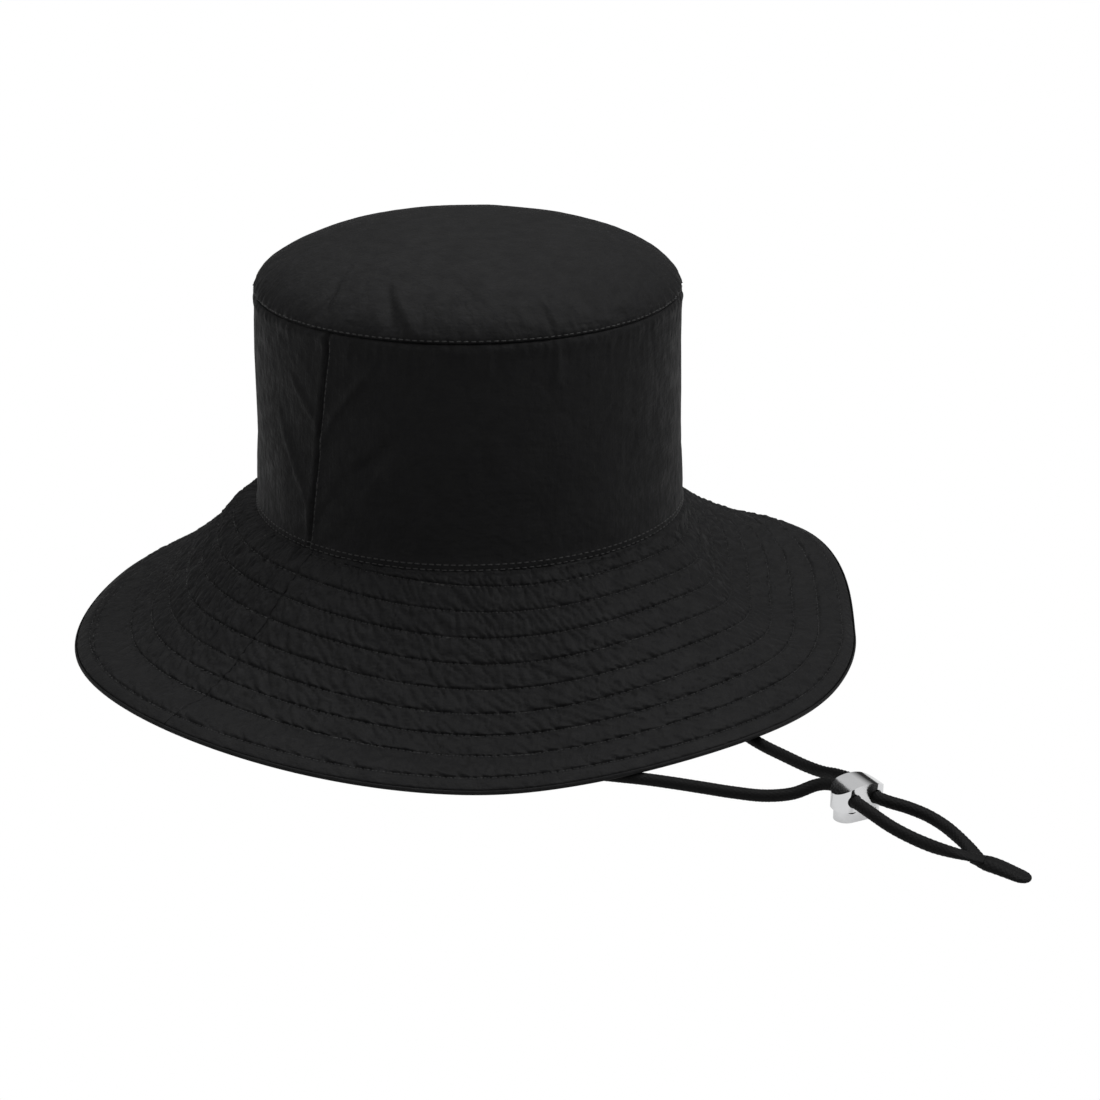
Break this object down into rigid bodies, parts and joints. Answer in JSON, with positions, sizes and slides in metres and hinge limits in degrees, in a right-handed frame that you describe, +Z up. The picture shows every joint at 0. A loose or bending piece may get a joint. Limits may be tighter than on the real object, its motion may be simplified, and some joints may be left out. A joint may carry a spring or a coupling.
{
  "type": "bucket hat",
  "caption": "Soft bucket hat with a wide stitched brim, sewn from cloth panels with a lining and sweatband, and a chin cord closed by a metal push-button cord lock.",
  "frame": {"origin": "on the surface that the hat stands on, under the middle of the brim", "axes": "+Z up through the crown, -Y towards the front of the hat, +X towards the wearer's left; the side seams lie over the X axis"},
  "size_m": [0.3552, 0.4896, 0.1866],
  "materials": {
    "crinkle_nylon": "matte crinkled",
    "lining_cloth": "matte",
    "interlining": "matte",
    "sweatband_cloth": "matte twill",
    "label_cloth": "satin",
    "braided_cord": "braided",
    "lock_chrome": "polished",
    "spring_steel": "plain"
  },
  "bodies": {
    "hat": {"crown_tip": "crinkle_nylon", "crown_side_front": "crinkle_nylon", "crown_side_back": "crinkle_nylon", "brim_top_front": "crinkle_nylon", "brim_top_back": "crinkle_nylon", "brim_interlining_front": "interlining", "brim_interlining_back": "interlining", "brim_under_front": "crinkle_nylon", "brim_under_back": "crinkle_nylon", "lining_tip": "lining_cloth", "lining_side_front": "lining_cloth", "lining_side_back": "lining_cloth", "sweatband": "sweatband_cloth", "care_label": "label_cloth", "cord_tab_left": "sweatband_cloth", "cord_tab_right": "sweatband_cloth", "chin_cord_left": "braided_cord", "chin_cord_right": "braided_cord", "cord_end": "braided_cord"},
    "cord_lock": {"lock_shell": "lock_chrome", "lock_spring": "spring_steel"},
    "plunger": {"lock_plunger": "lock_chrome"}
  },
  "joints": [
    {"name": "lock_slide", "type": "slide", "parent": "hat", "child": "cord_lock", "axis": [0.3584, 0.9336, 0], "range_m": [0, 0.004]},
    {"name": "plunger_press", "type": "slide", "parent": "cord_lock", "child": "plunger", "axis": [0, 0, 1], "range_m": [0, 0.003], "stiffness_N_per_m": 600, "springref_m": -0.002, "deforming": ["lock_spring"]}
  ]
}
